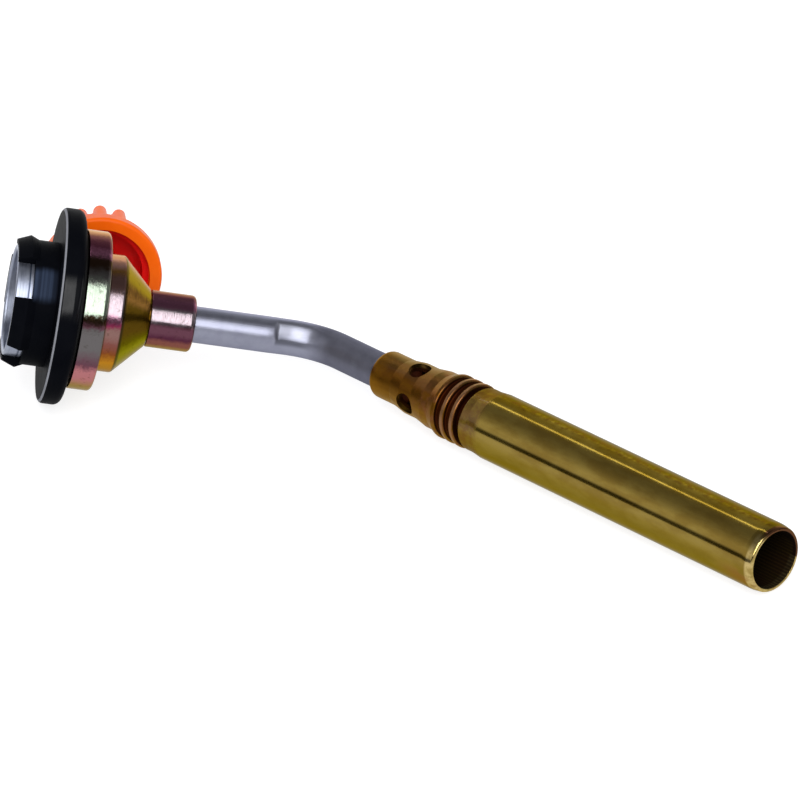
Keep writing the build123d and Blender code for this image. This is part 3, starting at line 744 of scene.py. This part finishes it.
for name, node in nodes.items():
    node.data.materials.clear()
    heated = name in ("gas_jet", "jet_holder")
    node.data.materials.append(hot_brass if heated else finishes[slots[name]])
print("finishes:", len(finishes))

# %% [markdown]
# ## The feed tube
# The tube is drawn round, and the press squeezed it a little in the plane of its bend. On the side that
# the bend turns to, the press also left a flat patch with a sharp start, which catches the light. A tree
# lays a grid of points round the tube's line: out along the outer skin and back along the bore, so that
# the wall is closed. Its sizes have names, and each ring of points knows how far along it stands.

# %% Sweep the feed tube
def feed_tube_form():
    tube_low = near("feed_tube", 0)[0]
    bend_end = Vector((
        bend_start + bend_radius * sin(-burner_turn), -bend_radius * (1 - cos(burner_turn)), 0,
    ))
    form = Form("bent_feed_tube", {
        "Radius": tube_radius, "Wall": 1.0 * mm, "Rear end": tube_low, "Straight": bend_start - tube_low,
        "Bend radius": bend_radius, "Bend angle": -burner_turn,
        "Tail": along_burner("feed_tube")[1] - bend_end.dot(burner_axis), "Inside burner": 7.7 * mm,
        "Squeeze": 0.11, "Squeeze run": 5.0 * mm, "Round again": 1.2 * mm,
        "Patch depth": 0.165, "Patch turn": radians(34), "Patch lead": 3.4 * mm, "Patch rise": 0.9 * mm,
        "Patch run": 5.0 * mm, "Patch fall": 7.0 * mm, "Patch edge": 0.65 * mm,
        "Rings": 240, "Sides": 64,
    })
    rings, sides, straight = form.size("Rings"), form.size("Sides"), form.size("Straight")
    bend, angle, radius = form.size("Bend radius"), form.size("Bend angle"), form.size("Radius")
    counts = {"Size X": 1.0, "Size Y": 1.0, "Vertices X": rings * 2 + 1, "Vertices Y": sides + 1}
    grid = form.add("GeometryNodeMeshGrid", inputs=counts)
    index = form.add("GeometryNodeInputIndex")
    row = (index / (sides + 1) + 0.00001).math("FLOOR")
    turn = (index - row * (sides + 1)) / sides * (2 * pi)
    fold = row.math("MODULO", rings * 2)
    inner = fold.math("GREATER_THAN", rings - 0.5)
    step = fold + inner * (rings * 2 - 1 - fold * 2)
    length = straight + bend * angle + form.size("Tail")
    along = step / (rings - 1) * length

    turned = ((along - straight) / bend).math("MAXIMUM", 0).math("MINIMUM", angle)
    past = (along - straight - bend * angle).math("MAXIMUM", 0)
    across_x, across_y = turned.math("SINE"), turned.math("COSINE")
    middle_x = form.size("Rear end") + along.math("MINIMUM", straight)
    middle_x = middle_x + bend * across_x + past * angle.math("COSINE")
    middle_y = bend * (across_y - 1) - past * angle.math("SINE")

    free_end = length - form.size("Inside burner")
    squeezed = along.between(straight - form.size("Squeeze run"), straight)
    squeezed = squeezed * (1 - along.between(free_end - form.size("Round again"), free_end))
    height = 1 - form.size("Squeeze") * squeezed
    low_part = turn.math("COSINE")
    high_part = height * turn.math("SINE")
    skin = radius * height / (low_part * low_part + high_part * high_part).math("SQRT")
    patch_start = straight - form.size("Patch lead")
    patch_stop = straight + form.size("Patch run")
    patch = along.between(patch_start, patch_start + form.size("Patch rise"))
    patch = patch * (1 - along.between(patch_stop, patch_stop + form.size("Patch fall")))
    facing = (turn - form.size("Patch turn")).math("COSINE").math("MAXIMUM", 0.2)
    chord = radius * (1.1 - (form.size("Patch depth") + 0.1) * patch) / facing
    skin = skin.math("SMOOTH_MIN", chord, form.size("Patch edge")) - form.size("Wall") * inner
    side_part = skin * turn.math("COSINE")
    place = form.add("ShaderNodeCombineXYZ", inputs={
        "X": middle_x - side_part * across_x, "Y": middle_y - side_part * across_y,
        "Z": skin * turn.math("SINE"),
    })
    swept = form.add("GeometryNodeSetPosition", inputs={"Geometry": grid, "Position": place})
    return form.make(swept, finishes["tube_metal"])


feed_tube = feed_tube_form()
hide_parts("feed_tube")
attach(feed_tube, "torch")

# %% [markdown]
# ## The flame holder
# A disc with a ring of ports and one pilot hole in its middle holds the flame. The ports repeat, so one
# small circle is put on each point of a large one, and the space between the circles is filled.

# %% Drill the flame holder
def flame_holder_form():
    low, high = along_burner("flame_holder")
    spans = (vertex.co - burner_foot for vertex in nodes["flame_holder"].data.vertices)
    holder_radius = max((span - burner_axis * span.dot(burner_axis)).length for span in spans)
    form = Form("ported_flame_holder", {
        "Radius": holder_radius, "Thickness": high - low, "Ports": 8, "Port radius": 0.9 * mm,
        "Port ring": holder_radius * 0.68, "Pilot radius": 1.6 * mm,
    })

    def circle(points, radius):
        inputs = {"Resolution": points, "Radius": form.size(radius)}
        return form.add("GeometryNodeCurvePrimitiveCircle", inputs=inputs)

    rim = circle(96, "Radius")
    pilot = circle(32, "Pilot radius")
    port = circle(24, "Port radius")
    ring = circle(form.size("Ports"), "Port ring")
    ports = form.add("GeometryNodeInstanceOnPoints", inputs={"Points": ring, "Instance": port})
    ports = form.add("GeometryNodeRealizeInstances", inputs={"Geometry": ports})
    outline = form.add("GeometryNodeJoinGeometry")
    for curve in (rim, pilot, ports):
        form.tree.links.new(curve.socket, outline.socket.node.inputs[0])
    face = form.add("GeometryNodeFillCurve", {"mode": "TRIANGLES"}, {"Curve": outline})
    wall = form.add("GeometryNodeExtrudeMesh", inputs={
        "Mesh": face, "Offset Scale": form.size("Thickness"), "Individual": False,
    })
    closed = form.add("GeometryNodeJoinGeometry")
    for part in (wall, form.add("GeometryNodeFlipFaces", inputs={"Mesh": face})):
        form.tree.links.new(part.socket, closed.socket.node.inputs[0])
    along = Matrix.Rotation(burner_turn, 4, "Z") @ Matrix.Rotation(pi / 2, 4, "Y")
    lifted = Matrix.Translation(burner_foot + burner_axis * low)
    return form.make(closed, finishes["burner_brass"], lifted @ along)


flame_holder = flame_holder_form()
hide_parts("flame_holder")
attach(flame_holder, "torch")

# %% [markdown]
# ## Floor and studio
# The photograph stands on pure white. A white floor would mirror in the brass, which is right, but it has
# to be white for the camera without flooding the torch with light. So the floor's material asks what
# kind of ray sees it: the camera and mirror rays see near-white with the shadow, all other rays see
# plain white paint. In a mirror ray the floor is a little dimmer near the torch, and lit like the
# backdrop behind it. It fades into the white world at its edge, and its underside lets the camera through.

# %% The floor
floor_radius = 0.34
back_light = 1.5
mirrored_floor = 0.78
floor_shift = 0.06
floor_centre = table_normal * table_height + table_right * floor_shift


def white_floor():
    finish = Finish("white_floor", {})
    tree = finish.tree
    tree.nodes.remove(finish.shader)
    path = tree.nodes.new("ShaderNodeLightPath")
    camera_ray = Wire(finish, path.outputs["Is Camera Ray"])
    mirror_ray = Wire(finish, path.outputs["Is Glossy Ray"])
    clear_ray = Wire(finish, path.outputs["Is Transmission Ray"])
    look = camera_ray.math("MAXIMUM", mirror_ray).math("MAXIMUM", clear_ray)
    place = finish.place(floor_centre)
    x, y, z = finish.split(place)
    away = (x * x + y * y + z * z).math("SQRT")
    edge = away.between(floor_radius * 0.45, floor_radius * 0.9)
    paint = finish.add("ShaderNodeBsdfDiffuse", inputs={"Color": solid((0.8, 0.8, 0.8))})
    shadow_part = finish.add("ShaderNodeBsdfDiffuse", inputs={"Color": solid((0.36, 0.36, 0.37))})
    glow = finish.add("ShaderNodeEmission", inputs={"Color": solid((1, 1, 1)), "Strength": 0.79})
    shown = finish.add("ShaderNodeAddShader", inputs={0: shadow_part, 1: glow})
    white = finish.add("ShaderNodeEmission", inputs={"Color": solid((1, 1, 1)), "Strength": 1.0})
    shown = finish.add("ShaderNodeMixShader", inputs={0: edge, 1: shown, 2: white})
    dim = finish.add("ShaderNodeEmission", inputs={"Color": solid((0, 0, 0)), "Strength": 0.0})
    dimmed = mirror_ray * (1 - mirrored_floor)
    shown = finish.add("ShaderNodeMixShader", inputs={0: dimmed, 1: shown, 2: dim})
    far = (-finish.reach(place, table_front)).between(0.03, 0.14) * mirror_ray
    lit = finish.add("ShaderNodeEmission", inputs={"Color": solid((1, 1, 1)), "Strength": back_light})
    shown = finish.add("ShaderNodeMixShader", inputs={0: far, 1: shown, 2: lit})
    surface = finish.add("ShaderNodeMixShader", inputs={0: look, 1: paint, 2: shown})
    behind = finish.add("ShaderNodeNewGeometry", output="Backfacing")
    clear = finish.add("ShaderNodeBsdfTransparent")
    surface = finish.add("ShaderNodeMixShader", inputs={0: behind, 1: surface, 2: clear})
    tree.links.new(surface.socket, tree.nodes["Material Output"].inputs["Surface"])
    return finish.material


def disc(name, centre, normal, across, radius, sides=96):
    """Flat round sheet."""
    mesh = bpy.data.meshes.new(name)
    form = bmesh.new()
    other = normal.cross(across)
    rim = [centre + (across * cos(turn) + other * sin(turn)) * radius
           for turn in (2 * pi * index / sides for index in range(sides))]
    form.faces.new([form.verts.new(point) for point in rim])
    form.to_mesh(mesh)
    form.free()
    sheet = bpy.data.objects.new(name, mesh)
    bpy.context.scene.collection.objects.link(sheet)
    return sheet


floor = disc("floor", floor_centre, table_normal, table_right, floor_radius)
floor.data.materials.append(white_floor())
print("floor radius", floor_radius, "m")

# %% [markdown]
# ## The world
# For the camera the world is white. Polished metal shows what stands round it, and in the photograph that
# is a lit table and backdrop behind the torch, a dark room in front above the table, a grey wall at the
# right, and a dark line where the table ends. Ramps over the height of the ray give the mirrored world
# these zones, one for each side. For soft light on everything else the world is one even, moderate white.

# %% Light the world
def grey_zones(*stops):
    """Stops of a ramp over the height of a ray, -1 to 1, from pairs of a height and a brightness."""
    return [(height / 2 + 0.5, (bright,) * 3) for height, bright in stops]


def studio_world():
    world = bpy.data.worlds.new("studio")
    bpy.context.scene.world = world
    world.use_nodes = True
    wires = Wires(world.node_tree)
    direction = wires.add("ShaderNodeTexCoord", output="Generated")
    height = wires.reach(direction, table_normal)
    share = height * 0.5 + 0.5
    front, right = wires.reach(direction, table_front), wires.reach(direction, table_right)
    side_zones = grey_zones(
        (-1, 0.85), (-0.15, 0.80), (-0.10, 0.06), (0.12, 0.06), (0.20, 0.85), (0.40, 0.85), (0.65, 0.42),
        (0.85, 0.16), (1, 0.10),
    )
    front_zones = grey_zones(
        (-1, 0.85), (-0.02, 0.85), (0.12, 0.30), (0.17, 0.12), (0.36, 0.12), (0.80, 0.12), (1, 0.10),
    )
    back_zones = grey_zones(
        (-1, 0.85), (-0.5, 1.0), (-0.2, back_light), (0.36, back_light), (0.46, 0.60), (0.80, 0.30),
        (0.94, 0.06), (1, 0.05),
    )
    mirrored = wires.colours(share, side_zones)
    mirrored = wires.mix(right.between(0.5, 0.9) * 0.55, mirrored, solid((0.10, 0.10, 0.10)))
    mirrored = wires.mix(front.between(0.45, 0.75), mirrored, wires.colours(share, front_zones))
    mirrored = wires.mix((-front).between(0.45, 0.75), mirrored, wires.colours(share, back_zones))
    path = world.node_tree.nodes.new("ShaderNodeLightPath")
    glossy = Wire(wires, path.outputs["Is Glossy Ray"])
    camera_ray = Wire(wires, path.outputs["Is Camera Ray"])
    clear_ray = Wire(wires, path.outputs["Is Transmission Ray"])
    colour = wires.mix(glossy, solid((0.52, 0.53, 0.55)), mirrored)
    colour = wires.mix(camera_ray.math("MAXIMUM", clear_ray), colour, solid((1, 1, 1)))
    background = world.node_tree.nodes["Background"]
    world.node_tree.links.new(colour.socket, background.inputs["Color"])


studio_world()
print("world:", bpy.context.scene.world.name)

# %% [markdown]
# ## Two lamps
# A large soft box over the camera gives the broad bright band on the valve body, the nut and the feed
# tube. A long narrow one, high behind the torch and turned along the burner, gives the thin line that
# runs along the flame tube.

# %% Hang the lamps
def soft_box(name, place, width, height, radiance, along=None):
    """Area lamp that faces the torch's middle, its width level or turned to lie along a direction.

    The radiance is that of its face."""
    lamp_data = bpy.data.lights.new(name, "AREA")
    lamp_data.shape = "RECTANGLE"
    lamp_data.size = width
    lamp_data.size_y = height
    lamp_data.energy = radiance * pi * width * height
    lamp = bpy.data.objects.new(name, lamp_data)
    back = (place - floor_centre).normalized()
    if along is None:
        right = table_normal.cross(back).normalized()
    else:
        right = (along - back * along.dot(back)).normalized()
    up = back.cross(right)
    lamp.matrix_world = Matrix.Translation(place) @ Matrix((right, up, back)).transposed().to_4x4()
    bpy.context.scene.collection.objects.link(lamp)
    print(name, "at", [round(value, 3) for value in place])


front_place = over_table(radians(2), radians(43), 1.9)
strip_place = Vector((-0.261, 0.449, 0.614))
soft_box("front_box", front_place, width=1.4, height=1.6, radiance=4.9)
soft_box("strip_box", strip_place, width=1.0, height=0.05, radiance=3.0, along=burner_axis)

# %% Colours as they are
bpy.context.scene.view_settings.view_transform = "Standard"
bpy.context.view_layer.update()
